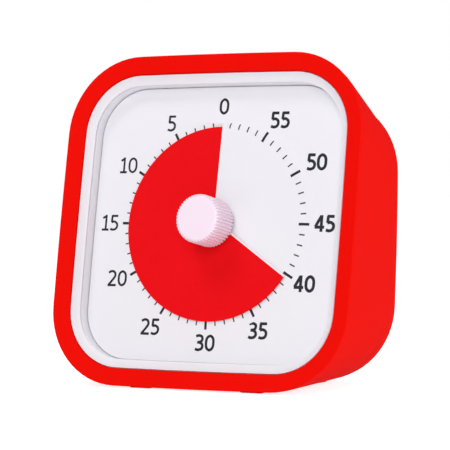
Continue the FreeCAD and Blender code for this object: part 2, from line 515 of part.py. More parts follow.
door = box(-door_x, door_x, hinge_y, BAY_HIGH - DOOR_GAP, rear_z0, rear_z0 + DOOR_THICK)
door = door.fuse(along_x(DOOR_THICK / 2, -door_x, door_x, hinge_y, hinge_z))
door = door.fuse(along_x(PIN_R, -pin_end, pin_end, hinge_y, hinge_z))
for i in range(5):
    y = BAY_HIGH - 3.0 - 1.2 * i
    door = door.cut(box(-5, 5, y - 0.3, y + 0.3, rear_z0 - 1, rear_z0 + 0.4))
save("battery_door", on_back(door.removeSplitter()))

# Buzzer, alarm board, slide switch and its button
buzzer_z1 = BUZZER_Z0 + BUZZER_THICK
ceramic = rod(7.5, buzzer_z1, buzzer_z1 + BUZZER_THICK, 0, SOUND_Y)
save("buzzer_disc", on_back(rod(BUZZER_R, BUZZER_Z0, buzzer_z1, 0, SOUND_Y).fuse(ceramic)))
alarm = box(-30.0, -11.0, -1.5, 14.0, BOARD_Z0, BOARD_Z1)
for x, y in BOARD_POSTS:
    alarm = alarm.cut(rod(BOARD_BORE_R + FIT, BOARD_Z0 - 1, BOARD_Z1 + 1, x, y))
save("alarm_board", on_back(alarm))
board_screws = [screw(x, y, BOARD_Z1 + 1.0, BOARD_Z0 - 3.2, 0.7, 1.5, 1.0, -1) for x, y in BOARD_POSTS]
save("alarm_board_screws", on_back(Part.makeCompound(board_screws)))


def about_switch(half_w, half_h, z0, z1, dx=0.0):
    return box(SWITCH_X + dx - half_w, SWITCH_X + dx + half_w, SWITCH_Y - half_h, SWITCH_Y + half_h, z0, z1)


save("slide_switch", on_back(about_switch(4.6, 2.0, 6.4, BOARD_Z0).cut(about_switch(3.3, 1.1, 6.0, 9.0))))
button = about_switch(SWITCH_HALF_W, SWITCH_HALF_H, rear_z0 - 0.9, rear_in + 0.3)
button = button.fuse(about_switch(6.6, 2.6, rear_in + 0.3, rear_in + 1.1))
button = button.fuse(about_switch(0.8, 0.8, rear_in + 0.3, 8.4))
for dx in (-0.9, 0.0, 0.9):
    button = button.cut(about_switch(0.15, 2.0, 0, rear_z0 - 0.6, dx))
save("volume_button", on_back(button.removeSplitter()))

print("lean %.3f degrees" % math.degrees(LEAN), "dial centre at y %.3f z %.3f" % (SHIFT_Y, SHIFT_Z))
for name, at in (("third", third), ("second", second), ("first", first), ("rotor", rotor_at)):
    y, z = stood((at[1], 0.0))
    print(name, "arbor at x %.4f y %.4f z %.4f" % (at[0], y + SHIFT_Y, z + SHIFT_Z))
hinge = on_back(Part.Vertex(0, hinge_y, hinge_z))
door_at = stand(hinge).Point
print("door hinge at y %.4f z %.4f" % (door_at.y, door_at.z))
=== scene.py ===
# %% [markdown]
# # A visual countdown timer, dressed
#
# The construction model of the timer is loaded first and stays as it is. This
# lesson then gives it its looks: soft rubber edges, a dial with printed marks,
# the thin red sheet, a ribbed knob, and a finish for every surface.

import json
import math

import bmesh
import bpy
from mathutils import Matrix, Vector


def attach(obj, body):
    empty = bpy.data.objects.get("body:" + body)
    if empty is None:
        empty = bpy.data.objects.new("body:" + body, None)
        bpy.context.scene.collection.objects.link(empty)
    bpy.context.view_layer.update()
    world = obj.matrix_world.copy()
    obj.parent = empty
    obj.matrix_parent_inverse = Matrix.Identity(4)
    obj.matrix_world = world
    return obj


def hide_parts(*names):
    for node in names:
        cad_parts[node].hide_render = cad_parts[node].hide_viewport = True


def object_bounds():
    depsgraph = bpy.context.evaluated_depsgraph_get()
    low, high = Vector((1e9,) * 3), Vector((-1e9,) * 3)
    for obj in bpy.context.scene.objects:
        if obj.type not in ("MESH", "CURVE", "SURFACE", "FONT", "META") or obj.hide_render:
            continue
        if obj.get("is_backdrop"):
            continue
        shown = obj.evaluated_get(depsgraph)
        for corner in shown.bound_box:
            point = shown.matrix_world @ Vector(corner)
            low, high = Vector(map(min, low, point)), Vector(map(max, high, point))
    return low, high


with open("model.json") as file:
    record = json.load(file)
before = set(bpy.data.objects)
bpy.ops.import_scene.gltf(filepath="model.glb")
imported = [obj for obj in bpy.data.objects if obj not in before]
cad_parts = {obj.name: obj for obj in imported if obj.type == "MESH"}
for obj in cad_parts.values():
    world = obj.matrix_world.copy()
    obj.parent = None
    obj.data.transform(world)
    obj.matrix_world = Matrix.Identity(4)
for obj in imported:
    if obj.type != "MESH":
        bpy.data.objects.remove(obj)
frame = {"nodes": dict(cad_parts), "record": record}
solid_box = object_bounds()
nodes = frame["nodes"]

# %% [markdown]
# ## The face frame
#
# The timer leans back, so it is easier to draw everything as if the dial lay
# flat: x to the right, y up the dial and z out of it, in millimetres. The knob's
# own hinge says where the dial's middle is and which way it faces. Reading it
# from the model is safer than typing the angle again.

# %% Find the dial's middle and build the matrix that stands a drawing up
knob_joint = next(j for j in frame["record"]["behaviour"]["joints"] if j["name"] == "knob_turn")
facing = Vector(knob_joint["axis"]).normalized()
across = Vector((1, 0, 0))
up_face = facing.cross(across)
MM = 0.001
STAND = Matrix.Translation(knob_joint["pos_m"]) @ Matrix((across, up_face, facing)).transposed().to_4x4()
STAND = STAND @ Matrix.Scale(MM, 4)
print("the dial leans back by", round(math.degrees(math.asin(facing.z)), 2), "degrees")


# %% [markdown]
# ## Turning lists of points into pieces
#
# The real timer is moulded, so its surfaces run smoothly round a few clear
# outlines. Nearly every surface here is a row of rings: the same outline
# repeated along a profile. Ready-made shapes with bevel modifiers could do some
# of it, but rings follow the measured outlines exactly. One helper joins rings
# into faces, and one makes the object, gives it a finish and lets it ride on
# its body.

# %% Mesh helpers
def new_piece(name, points, faces, finish, body, smooth=35, weld=0.0):
    """A mesh object from face-frame points in millimetres, riding on a body of the model."""
    mesh = bpy.data.meshes.new(name)
    mesh.from_pydata([STAND @ Vector(p) for p in points], [], faces)
    bm = bmesh.new()
    bm.from_mesh(mesh)
    if weld:
        bmesh.ops.remove_doubles(bm, verts=bm.verts, dist=weld * MM)
    bmesh.ops.recalc_face_normals(bm, faces=bm.faces)
    bm.to_mesh(mesh)
    bm.free()
    mesh.shade_smooth()
    mesh.set_sharp_from_angle(angle=math.radians(smooth))
    mesh.materials.append(finish)
    piece = bpy.data.objects.new(name, mesh)
    bpy.context.scene.collection.objects.link(piece)
    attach(piece, body)
    print(name, "has", len(mesh.polygons), "faces")
    return piece


def grid_faces(rows, columns, close_rows, close_columns):
    """Quads between neighbouring rows of points, joined round either way."""
    faces = []
    for i in range(rows if close_rows else rows - 1):
        for j in range(columns if close_columns else columns - 1):
            k, m = (i + 1) % rows, (j + 1) % columns
            faces.append((i * columns + j, k * columns + j, k * columns + m, i * columns + m))
    return faces


# %% [markdown]
# ## Softened corners
#
# No moulded edge is perfectly sharp. A bevel modifier could round them all by
# one amount, but here each corner of a profile has its own radius. So a profile
# is drawn with sharp corners, and a helper cuts each one back and bridges it.

# %% Curve helpers
def mix(a, b, f):
    return a + (b - a) * f


def ease(f):
    """Goes smoothly from 0 to 1 as f does."""
    f = min(1.0, max(0.0, f))
    return f * f * (3 - 2 * f)


def soften(corners, cuts, steps=6, closed=False):
    """Rounds the corners of a profile. A corner is cut back by its length and bridged by a smooth curve."""
    out = []
    count = len(corners)
    for i, (here, cut) in enumerate(zip(corners, cuts)):
        at = Vector(here)
        if cut == 0 or (not closed and i in (0, count - 1)):
            out.append(at)
            continue
        before, after = Vector(corners[i - 1]), Vector(corners[(i + 1) % count])
        start = at + (before - at).normalized() * cut
        end = at + (after - at).normalized() * cut
        for step in range(steps + 1):
            f = step / steps
            out.append(start.lerp(at, f).lerp(at.lerp(end, f), f))
    return out


# %% [markdown]
# ## Finishes
#
# Every surface of the real timer is a plain colour with a fine grain, so its
# finish is a small web of nodes. They could be placed one by one, but
# `1 - mask` reads better than naming a Math node. So one class wraps a socket
# and turns the operators into nodes, and anything else comes from a single
# method that takes the node's type. The world at the end uses the same method.

# %% The socket class
class Wire:
    """A value that varies over a surface. Plain sums on it add Math nodes."""

    def __init__(self, web, socket):
        self.web, self.socket = web, socket

    def math(self, operation, a, b):
        return self.web.node("ShaderNodeMath", {"operation": operation}, {0: a, 1: b})

    def __add__(self, other):
        return self.math("ADD", self, other)

    def __radd__(self, other):
        return self.math("ADD", other, self)

    def __sub__(self, other):
        return self.math("SUBTRACT", self, other)

    def __rsub__(self, other):
        return self.math("SUBTRACT", other, self)

    def __mul__(self, other):
        return self.math("MULTIPLY", self, other)

    def __rmul__(self, other):
        return self.math("MULTIPLY", other, self)


# %% The web class
class Web:
    """The nodes of a material or of the world. All of them come from one method."""

    def __init__(self, tree):
        self.tree = tree

    def node(self, kind, settings, inputs, output=0):
        """Adds a node: its settings first, then a value or a link for each socket. Returns one output."""
        made = self.tree.nodes.new(kind)
        for key, value in settings.items():
            setattr(made, key, value)
        for key, value in inputs.items():
            if isinstance(value, Wire):
                self.tree.links.new(value.socket, made.inputs[key])
            else:
                made.inputs[key].default_value = value
        return Wire(self, made.outputs[output])

    def seen_by(self, *rays):
        """A value of 1 to the kinds of ray that are named, and 0 to all others."""
        seen = self.node("ShaderNodeLightPath", {}, {}, rays[0])
        for ray in rays[1:]:
            also = self.node("ShaderNodeLightPath", {}, {}, ray)
            seen = self.node("ShaderNodeMath", {"operation": "MAXIMUM"}, {0: seen, 1: also})
        return seen


# %% The finish class
class Finish(Web):
    """A material with a Principled shader."""

    def __init__(self, name, **constants):
        self.material = bpy.data.materials.new(name)
        self.material.use_nodes = True
        super().__init__(self.material.node_tree)
        self.shader = self.tree.nodes["Principled BSDF"]
        for socket, value in constants.items():
            self.shader.inputs[socket.replace("_", " ")].default_value = value

    def feed(self, socket, wire):
        self.tree.links.new(wire.socket, self.shader.inputs[socket])

    def place(self):
        """Where a point lies on its piece, in metres."""
        return self.node("ShaderNodeTexCoord", {}, {}, "Object")

    def noise(self, scale, detail, where=None):
        inputs = {"Vector": where or self.place(), "Scale": scale, "Detail": detail}
        return self.node("ShaderNodeTexNoise", {}, inputs)

    def blend(self, factor, a, b):
        """A colour between a and b."""
        return self.node("ShaderNodeMix", {"data_type": "RGBA"}, {0: factor, 6: a, 7: b}, 2)

    def bump(self, height, depth_mm):
        """Small relief in the surface. depth_mm is how tall a height of 1 stands."""
        inputs = {"Height": height, "Distance": depth_mm * MM, "Strength": 1.0}
        self.feed("Normal", self.node("ShaderNodeBump", {}, inputs))


# %% Colours, and the finish that most pieces share
GLOSS_DRIFT = 0.08


def srgb(r, g, b):
    """A colour as it looks on a screen, 0 to 255, as the linear values that a shader takes."""
    def line(c):
        c = c / 255
        return c / 12.92 if c <= 0.04045 else ((c + 0.055) / 1.055) ** 2.4
    return (line(r), line(g), line(b), 1.0)


def moulded(name, colour, darker, rough, grain_mm, depth_mm, **constants):
    """A moulded or coated surface: a fine grain, and colour and gloss that drift a little over it."""
    finish = Finish(name, **constants)
    drift = finish.noise(60.0, 3.0)
    grain = finish.noise(1.0 / (grain_mm * MM), 3.0)
    finish.feed("Base Color", finish.blend(drift, darker, colour))
    finish.feed("Roughness", (drift - 0.5) * GLOSS_DRIFT + (grain - 0.5) * GLOSS_DRIFT + rough)
    finish.bump(grain, depth_mm)
    return finish.material


# %% [markdown]
# ## Rubber, plastic and print
#
# Silicone rubber is deeply coloured and hardly shiny. It could be a mix of a
# diffuse and a glossy shader, but one Principled shader with its reflections
# turned well down does the same: a shiny red would pick up the white room and
# go pink. The white plastics are nearly neutral with a touch of blue, as in the
# photograph.

# %% The finishes that show on the outside
silicone = moulded("red silicone", srgb(243, 16, 7), srgb(239, 14, 6), 0.7, 0.25, 0.012,
                   Specular_IOR_Level=0.02)
case_white = moulded("white case plastic", srgb(244, 243, 248), srgb(240, 239, 245), 0.42, 0.18, 0.006,
                     Specular_IOR_Level=0.3)
dial_white = moulded("dial sheet", srgb(240, 239, 244), srgb(238, 237, 242), 0.55, 0.12, 0.002,
                     Specular_IOR_Level=0.2)
disc_red = moulded("red film", srgb(238, 17, 25), srgb(234, 15, 22), 0.6, 0.15, 0.002,
                   Specular_IOR_Level=0.03)
knob_pink = moulded("pale pink plastic", srgb(252, 234, 247), srgb(250, 230, 244), 0.4, 0.2, 0.004,
                    Specular_IOR_Level=0.3)
ink = moulded("dial ink", srgb(44, 44, 50), srgb(38, 38, 44), 0.6, 0.1, 0.001, Specular_IOR_Level=0.2)
sheet_edge = moulded("bare sheet edge", srgb(250, 236, 240), srgb(247, 230, 236), 0.5, 0.15, 0.002,
                     Specular_IOR_Level=0.2)
button_grey = moulded("grey button plastic", srgb(150, 151, 156), srgb(142, 143, 148), 0.45, 0.15, 0.004)
print(len(bpy.data.materials), "materials on the outside")

# %% [markdown]
# ## Finishes inside the case
#
# The movement shows only when the timer is taken apart. Brass and steel have
# fine rolled marks, made by stretching a noise along one way. The circuit
# boards could carry drawn tracks, but a cell pattern cut at its edges looks
# like tracks at this size. The winding is a wave with one crest for each turn
# of the wire.

# %% The finishes of metal, board and winding
ROLLED = (1.0, 1.0, 12.0)


def metal(name, colour, darker, rough):
    """A metal with fine turned or rolled marks and a few duller patches."""
    finish = Finish(name, Metallic=1.0)
    where = finish.node("ShaderNodeMapping", {}, {"Vector": finish.place(), "Scale": ROLLED})
    marks = finish.noise(900.0, 2.0, where)
    patches = finish.noise(140.0, 3.0)
    finish.feed("Base Color", finish.blend(patches, darker, colour))
    finish.feed("Roughness", marks * 0.15 + patches * 0.12 + (rough - 0.13))
    finish.bump(marks, 0.003)
    return finish.material


def board():
    """Green solder mask with paler tracks just under it."""
    finish = Finish("solder mask", Specular_IOR_Level=0.5)
    cells = finish.node("ShaderNodeTexVoronoi", {"feature": "DISTANCE_TO_EDGE"},
                        {"Vector": finish.place(), "Scale": 420.0})
    tracks = finish.node("ShaderNodeMath", {"operation": "LESS_THAN"}, {0: cells, 1: 0.09})
    finish.feed("Base Color", finish.blend(tracks, srgb(16, 92, 52), srgb(40, 130, 78)))
    finish.feed("Roughness", 0.3 + tracks * 0.1)
    finish.bump(tracks, 0.03)
    return finish.material


def winding():
    """Enamelled copper wire, wound side by side."""
    finish = Finish("copper winding", Metallic=0.85)
    turns = finish.node("ShaderNodeTexWave", {"bands_direction": "X"},
                        {"Vector": finish.place(), "Scale": 1400.0, "Distortion": 0.4})
    finish.feed("Base Color", finish.blend(turns, srgb(128, 62, 30), srgb(206, 120, 70)))
    finish.feed("Roughness", 0.38 - turns * 0.1)
    finish.bump(turns, 0.08)
    return finish.material


# %% Mix the finishes inside the case
brass = metal("turned brass", srgb(214, 184, 116), srgb(190, 158, 92), 0.32)
steel = metal("plated steel", srgb(196, 198, 202), srgb(170, 172, 178), 0.34)
nylon = moulded("gear nylon", srgb(236, 232, 214), srgb(228, 223, 204), 0.4, 0.2, 0.004)
magnet = moulded("rotor magnet", srgb(74, 72, 72), srgb(60, 58, 58), 0.5, 0.1, 0.01)
black_case = moulded("black movement case", srgb(46, 46, 49), srgb(38, 38, 41), 0.5, 0.3, 0.02)
bobbin_white = moulded("bobbin nylon", srgb(226, 226, 220), srgb(218, 218, 211), 0.45, 0.2, 0.004)
wrap = moulded("battery wrap", srgb(58, 62, 70), srgb(50, 54, 62), 0.3, 0.4, 0.003)
green = board()
copper = winding()
print(len(bpy.data.materials), "materials in all")

# %% [markdown]
# ## Dressing the construction pieces
#
# The back of the case, the door, the screws and the whole movement have their
# real shape in the construction model. They could be drawn again, but that
# would only bring mistakes, so they keep their solids and take a finish. Each
# material slot of the record maps to one finish.

# %% Give every loaded node its finish
FINISH_OF_SLOT = {
    "red_silicone": silicone, "white_case": case_white, "dial_white": dial_white, "disc_red": disc_red,
    "knob_pink": knob_pink, "shaft_brass": brass, "steel": steel, "gear_nylon": nylon,
    "rotor_magnet": magnet, "movement_grey": black_case, "bobbin_white": bobbin_white, "copper": copper,
    "board_green": green, "buzzer_brass": brass, "cell_wrap": wrap, "button_grey": button_grey,
}
for part in frame["record"]["subparts"]:
    mesh = nodes[part["node"]].data
    mesh.materials.clear()
    mesh.materials.append(FINISH_OF_SLOT[part["material_slot"]])

# %% [markdown]
# ## The outline that everything shares
#
# The cover, the bezel and the window are the same kind of shape: a square with
# very round corners and sides that bow out a hair. A bevelled square would have
# straight sides and look stiff. Here each quarter is three arcs, so rings of
# different sizes have matching points and can be joined.

# %% The outline as a ring of points
SIDE_STEPS, CORNER_STEPS = 6, 16
BOW = 0.15


def arc(cx, cy, r, a0, a1, steps):
    return [(cx + r * math.cos(mix(a0, a1, i / steps)), cy + r * math.sin(mix(a0, a1, i / steps)))
            for i in range(steps)]


def quarter(half_w, half_h, r):
    """The first quarter of the outline, from the right side's middle to just before the top's middle."""
    cx, cy, d = half_w - r - BOW, half_h - r - BOW, r + BOW
    side = (cy * cy + (d - r) * (d + r)) / (2 * BOW)
    crown = (cx * cx + (d - r) * (d + r)) / (2 * BOW)
    a0, a1 = math.atan2(cy, cx - half_w + side), math.atan2(cy - half_h + crown, cx)
    return (arc(half_w - side, 0, side, 0, a0, SIDE_STEPS) + arc(cx, cy, r, a0, a1, CORNER_STEPS)
            + arc(0, half_h - crown, crown, a1, math.pi / 2, SIDE_STEPS))


def outline(half_w, half_h, r):
    """The whole outline, anticlockwise from the right side's middle."""
    first = quarter(half_w, half_h, r)
    top = [(0.0, half_h)]
    left = [(-x, y) for x, y in reversed(first[1:])]
    upper = first + top + left + [(-half_w, 0.0)]
    lower = [(x, -y) for x, y in reversed(upper[1:-1])]
    return upper + lower


RING_COUNT = len(outline(40, 40, 15))
print("a ring has", RING_COUNT, "points")

# %% [markdown]
# ## The silicone cover
#
# The sleeve is one soft skin that grips the case. It could be a cube with bevel
# and solidify modifiers, but its front lies in the plane of the dial and its
# back is tilted, and swept rings follow both. The profile is drawn as a few
# corners: the lip that holds the bezel, the rim, the tapered side, the back
# edge and the inside. They are softened, because rubber has no sharp edge.

# %% Cover sizes, as on the construction model
# An outline's size is its half width, its half height and its corner radius.
RIM = (46.13, 46.7, 22.1)
RIM_Z, LIP_Z, LIP_BACK_Z = 6.83, 5.51, 4.05
LIP = (41.3, 41.64, 16.96)
BACK = (39.03, 40.06, 21.3)
BACK_RISE, BACK_Z, BACK_TILT = 1.75, -37.0, math.radians(6.8)
SKIN, BACK_LIP = 2.5, 3.5
DEPTH = RIM_Z - BACK_Z
TAPER = (RIM[0] - BACK[0]) / DEPTH
LIP_WIDE = RIM[0] - LIP[0]
print("the cover is", round(DEPTH, 1), "mm deep and narrows", round(TAPER, 3), "mm in each")


def front_ring(inset, z):
    """A ring of the rim, drawn in towards the lip by inset, at a height z over the dial."""
    f = inset / LIP_WIDE
    return [(x, y, z) for x, y in outline(*(mix(a, b, f) for a, b in zip(RIM, LIP)))]


def back_ring(inset, z):
    """A ring of the tilted back, drawn in by inset, z inside the back plane."""
    c, s = math.cos(BACK_TILT), math.sin(BACK_TILT)
    ring = outline(*(a - inset for a in BACK))
    return [(x, (y + BACK_RISE) * c - z * s, BACK_Z + (y + BACK_RISE) * s + z * c) for x, y in ring]


# %% Sweep the cover
EDGE = 3.0
BACK_SKIN = SKIN - 0.4
front_profile = soften([(LIP_WIDE, LIP_BACK_Z), (LIP_WIDE, LIP_Z), (0, RIM_Z), (TAPER * EDGE, RIM_Z - EDGE)],
                       [0, 0.45, 0.5, 0])
back_profile = soften([(-TAPER * EDGE, EDGE), (0, 0), (BACK_LIP, 0), (BACK_LIP, BACK_SKIN)],
                      [0, 0.9, 0.5, 0])
rings = [front_ring(*p) for p in front_profile] + [back_ring(*p) for p in back_profile]
rings.append(back_ring(SKIN - 0.3, BACK_SKIN))
rings.append(front_ring(SKIN + 0.4, LIP_BACK_Z))
cover = new_piece("cover_skin", [p for ring in rings for p in ring],
                  grid_faces(len(rings), RING_COUNT, True, True), silicone, "case", 50)
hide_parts("silicone_cover")

# %% [markdown]
# ## The resting pads
#
# Two low strips under the cover keep the timer from rocking. They stand half a
# millimetre proud and show as small steps under the front edge. They could be
# part of the cover's skin, but a separate bar with rounded ends leaves the
# sweep simple. The bar's underside lies on the table.

# %% Two pads
PAD_MIDDLE, PAD_HALF_W, PAD_HIGH = 17.25, 3.25, 1.2
PAD_FROM_RIM, PAD_FROM_BACK = 0.003, 0.0094
PAD_ENDS = [(0, 0.9), (0.004, 0.35), (0.012, 0.1), (0.03, 0),
            (0.97, 0), (0.988, 0.1), (0.996, 0.35), (1, 0.9)]
END_NARROW, END_RISE = 0.15, 0.45
unstand = STAND.inverted()
pad_front = unstand @ Vector((0, solid_box[0].y + PAD_FROM_RIM, 0))
pad_back = unstand @ Vector((0, solid_box[1].y - PAD_FROM_BACK, 0))
straight_up = unstand.to_3x3() @ Vector((0, 0, MM))


def pad(name, middle):
    """A strip along the cover's underside, its section a low rounded bar that shrinks at both ends."""
    section = [(-PAD_HALF_W, PAD_HIGH), (-PAD_HALF_W, 0), (PAD_HALF_W, 0), (PAD_HALF_W, PAD_HIGH)]
    section = soften(section, [0, 0.45, 0.45, 0])
    points = []
    for f, shrink in PAD_ENDS:
        along = pad_front.lerp(pad_back, f)
        for x, h in section:
            sideways = Vector((middle + x * (1 - shrink * END_NARROW), 0, 0))
            points.append(along + sideways + straight_up * (h + shrink * END_RISE))
    count = len(section)
    faces = grid_faces(len(PAD_ENDS), count, False, True)
    faces += [tuple(range(count)), tuple(range(len(points) - count, len(points)))]
    return new_piece(name, points, faces, silicone, "case", 50)


for word, side in (("left", -1), ("right", 1)):
    pad("resting_pad_" + word, side * PAD_MIDDLE)

# %% [markdown]
# ## The bezel
#
# The white frame steps down from the rubber lip to the dial: a sloping band, a
# crisp edge and a straight wall. It could be cut out of a block with booleans,
# but a sweep keeps its edges clean. A narrow rebate under the edge draws the
# thin grey line that runs round the window.

# %% Sweep the bezel
WINDOW = (38.85, 38.85, 14.2)
STEP_IN, STEP_Z, BAND_Z = 0.75, 2.85, 3.48


def level_ring(half_w, half_h, r, z):
    return [(x, y, z) for x, y in outline(half_w, half_h, r)]


REBATE = tuple(a + STEP_IN for a in WINDOW)
WALL_FOOT, SEAT_Z, BEZEL_BACK = -0.7, 0.06, -11.9
DIAL_SEAT = (39.5, 39.5, 14.9)
# One ring a line, from the window's wall outwards, round the back and in to the dial.
bezel_corners = [
    (*WINDOW, WALL_FOOT),
    (*WINDOW, STEP_Z),
    (*REBATE, STEP_Z),
    (*REBATE, BAND_Z - 0.08),
    (38.9, 38.9, 14.25, BAND_Z),
    (41.0, 41.34, 16.66, 5.38),
    (41.15, 41.5, 16.8, 3.95),
    (43.0, 43.55, 19.0, 3.85),
    (40.7, 41.4, 19.0, BEZEL_BACK),
    (38.8, 39.4, 17.1, BEZEL_BACK),
    (40.2, 40.6, 16.4, SEAT_Z),
    (*DIAL_SEAT, SEAT_Z),
    (*DIAL_SEAT, WALL_FOOT)]
bezel_profile = soften(bezel_corners, [0, 0.05, 0, 0, 0.12, 0.2, 0, 0, 0, 0, 0, 0, 0], closed=True)
bezel_rings = [level_ring(*corner) for corner in bezel_profile]
bezel = new_piece("bezel_frame", [p for ring in bezel_rings for p in ring],
                  grid_faces(len(bezel_rings), RING_COUNT, True, True), case_white, "case", 40)
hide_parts("front_bezel")

# %% [markdown]
# ## The dial sheet
#
# The dial is one white sheet, slit from its middle to the minute marks. The
# slit's two lips part, so the sheet climbs a little as it goes round, and the
# red sheet slips through. A flat disc with a painted line would look the same
# at rest, but not when the red moves. Outside the slit the dial is flat, and a
# narrow groove parts it from the window's wall. The height is a formula of
# angle and radius, so the marks can be laid on it exactly.

# %% The height of the dial and of the red sheet
# Both sheets climb by the pitch in a whole turn. The slit is a degree off straight up.
PITCH = 1.0
SLIT = -1.0
WHITE_FRONT, DIAL_THICK = -0.35, 0.3
RED_FRONT, RED_THICK = 0.12, 0.24
# The climb fades out between two radii, sooner within so many degrees of the slit.
FADE_FROM, SLIT_END, FLAT_FROM = 27.5, 28.3, 31.5
SLIT_LIP = 25


def dial_height(turn, r):
    """Height of the dial's face. turn is in degrees anticlockwise from the slit."""
    off_slit = ease(min(turn, 360 - turn) / SLIT_LIP)
    flat = mix(SLIT_END, FLAT_FROM, off_slit)
    fade = 1 - ease((r - FADE_FROM) / (flat - FADE_FROM))
    return (WHITE_FRONT + PITCH * turn / 360) * fade


def polar(r, degrees, z):
    """A point on the face. degrees run anticlockwise from straight up."""
    a = math.radians(degrees + 90)
    return (r * math.cos(a), r * math.sin(a), z)


print("the slit's two lips lie at", [round(dial_height(turn, 10), 2) for turn in (0, 360)])

# %% The dial's outlines and its rings
DIAL_EDGE, GROOVE_OUT, DIAL_OUT = (38.54, 38.54, 13.9), (38.57, 38.57, 13.93), (39.8, 39.8, 15.4)
BEYOND_SLIT = (0.35, 0.7, 0.97, 1.0)
GROOVE_DEEP = 0.75
DIAL_HOLE = 4.7
TURNS = 360
radii = [DIAL_HOLE, 8, 12, 16, 20, 24, 26.5, 27.1, FADE_FROM, 27.8, 28.05, SLIT_END, 28.7, 29.2, 29.8, 30.4,
         31.0, FLAT_FROM]


def reach_of(ring, degrees):
    """Distance from the middle to a ring of points, along an angle from straight up."""
    x, y, _ = polar(1, degrees, 0)
    for (ax, ay), (bx, by) in zip(ring, ring[1:] + ring[:1]):
        if ax * y - ay * x >= 0 >= bx * y - by * x and ax * x + ay * y > 0:
            return (ax * (by - ay) - ay * (bx - ax)) / (x * (by - ay) - y * (bx - ax))


edge_rings = [outline(*size) for size in (DIAL_EDGE, GROOVE_OUT, DIAL_OUT)]
print("from the middle to the dial's edge is", round(reach_of(edge_rings[0], 45), 2), "mm at a corner")

# %% Make the dial sheet
def dial_sheet(under):
    """One face of the sheet, or its underside, as columns of points round the dial."""
    columns = []
    for i in range(TURNS + 1):
        turn = 360 * i / TURNS
        degrees = turn + SLIT
        edge, groove, out = (reach_of(ring, degrees) for ring in edge_rings)
        column = [polar(r, degrees, dial_height(turn, r) - under) for r in radii]
        column += [polar(mix(FLAT_FROM, edge, f), degrees, -under) for f in BEYOND_SLIT]
        column += [polar(r, degrees, -GROOVE_DEEP - under) for r in (groove, out)]
        columns.append(column)
    return columns


top, bottom = dial_sheet(0), dial_sheet(DIAL_THICK)
loops = [up + list(reversed(down)) for up, down in zip(top, bottom)]
loop_length = len(loops[0])
faces = grid_faces(len(loops), loop_length, False, True)
slit_ring = radii.index(SLIT_END)
last = (len(loops) - 1) * loop_length
for base in (0, last):
    for j in range(slit_ring):
        faces.append((base + j, base + j + 1, base + loop_length - 2 - j, base + loop_length - 1 - j))
dial_points = [p for loop in loops for p in loop]
dial = new_piece("dial_face", dial_points, faces, dial_white, "case", 40, weld=0.002)
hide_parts("dial_plate", "dial_disc")

# %% [markdown]
# ## Minute marks
#
# There are sixty places round the dial, but the slit takes the one at zero. The
# marks could be a mask in the dial's finish, but real patches of ink stay sharp
# at any distance. Each one follows the dial's height. Joining them in one mesh
# keeps the scene light.

# %% Lay the marks
# A mark's size is its inner radius, its outer radius and its width.
INK_LOW, INK_HIGH = -0.02, 0.03
MINOR = (26.85, 28.5, 0.36)
MAJOR = (26.35, 29.45, 0.74)


def mark(degrees, r0, r1, width, steps=8):
    """The points and faces of one mark, a shallow bar across the dial."""
    points = []
    for i in range(steps + 1):
        r = mix(r0, r1, i / steps)
        z = dial_height((degrees - SLIT) % 360, r)
        half = math.degrees(width / 2 / r)
        lift = (INK_LOW, INK_HIGH, INK_HIGH, INK_LOW)
        points += [polar(r, degrees + side, z + h) for side, h in zip((half, half, -half, -half), lift)]
    faces = grid_faces(steps + 1, 4, False, True)
    return points, faces + [(0, 1, 2, 3), tuple(steps * 4 + k for k in range(4))]


points, faces = [], []
for minute in range(1, 60):
    more, quads = mark(minute * 6, *(MAJOR if minute % 5 == 0 else MINOR))
    faces += [tuple(k + len(points) for k in quad) for quad in quads]
    points += more
new_piece("minute_marks", points, faces, ink, "case", 40)

# %% [markdown]
# ## The numbers
#
# The real print has plain upright figures, narrow and bold. Blender's text
# could set them, but its own letters have other shapes. So each figure is a few
# pen strokes here, and a stroke is a smooth path given a width. That also lets
# the weight differ from number to number, as it does on the real print. Zero
# is at the top and the minutes run anticlockwise, because the red shrinks
# clockwise.

# %% The strokes of the six figures, in millimetres
FIGURES = {
    "0": (3.0, [[(1.5, 0.36), (0.72, 0.8), (0.4, 1.55), (0.36, 2.32), (0.4, 3.1), (0.72, 3.85), (1.5, 4.29),
                 (2.28, 3.85), (2.6, 3.1), (2.64, 2.32), (2.6, 1.55), (2.28, 0.8), (1.5, 0.36)]]),
    "1": (2.3, [[(1.33, 0.1), (1.33, 4.6)], [(1.4, 4.3), (0.25, 3.62)], [(0.1, 0.34), (2.3, 0.34)]]),
    "2": (2.86, [[(0.22, 3.85), (0.75, 4.18), (1.35, 4.3), (2.0, 4.1), (2.36, 3.5), (2.3, 2.85), (1.8, 2.1),
                  (1.1, 1.25), (0.45, 0.5)], [(0.1, 0.34), (2.76, 0.34)]]),
    "3": (2.8, [[(0.25, 4.05), (0.8, 4.26), (1.4, 4.3), (2.05, 4.05), (2.3, 3.5), (2.05, 2.8), (1.3, 2.46),
                 (0.75, 2.42)],
                [(0.75, 2.42), (1.4, 2.38), (2.1, 2.1), (2.44, 1.4), (2.15, 0.7), (1.4, 0.38), (0.8, 0.37),
                 (0.18, 0.6)]]),
    "4": (3.0, [[(2.08, 0.05), (2.08, 4.6)], [(2.0, 4.45), (0.3, 1.45)], [(0.1, 1.32), (2.95, 1.32)]]),
    "5": (2.75, [[(0.4, 4.29), (2.5, 4.29)], [(0.66, 4.4), (0.56, 2.5)],
                 [(0.5, 2.46), (1.1, 2.66), (1.75, 2.55), (2.3, 2.05), (2.4, 1.4), (2.1, 0.7), (1.45, 0.38),
                  (0.85, 0.37), (0.2, 0.58)]]),
}
FIGURE_HIGH, FIGURE_GAP = 4.65, 0.36
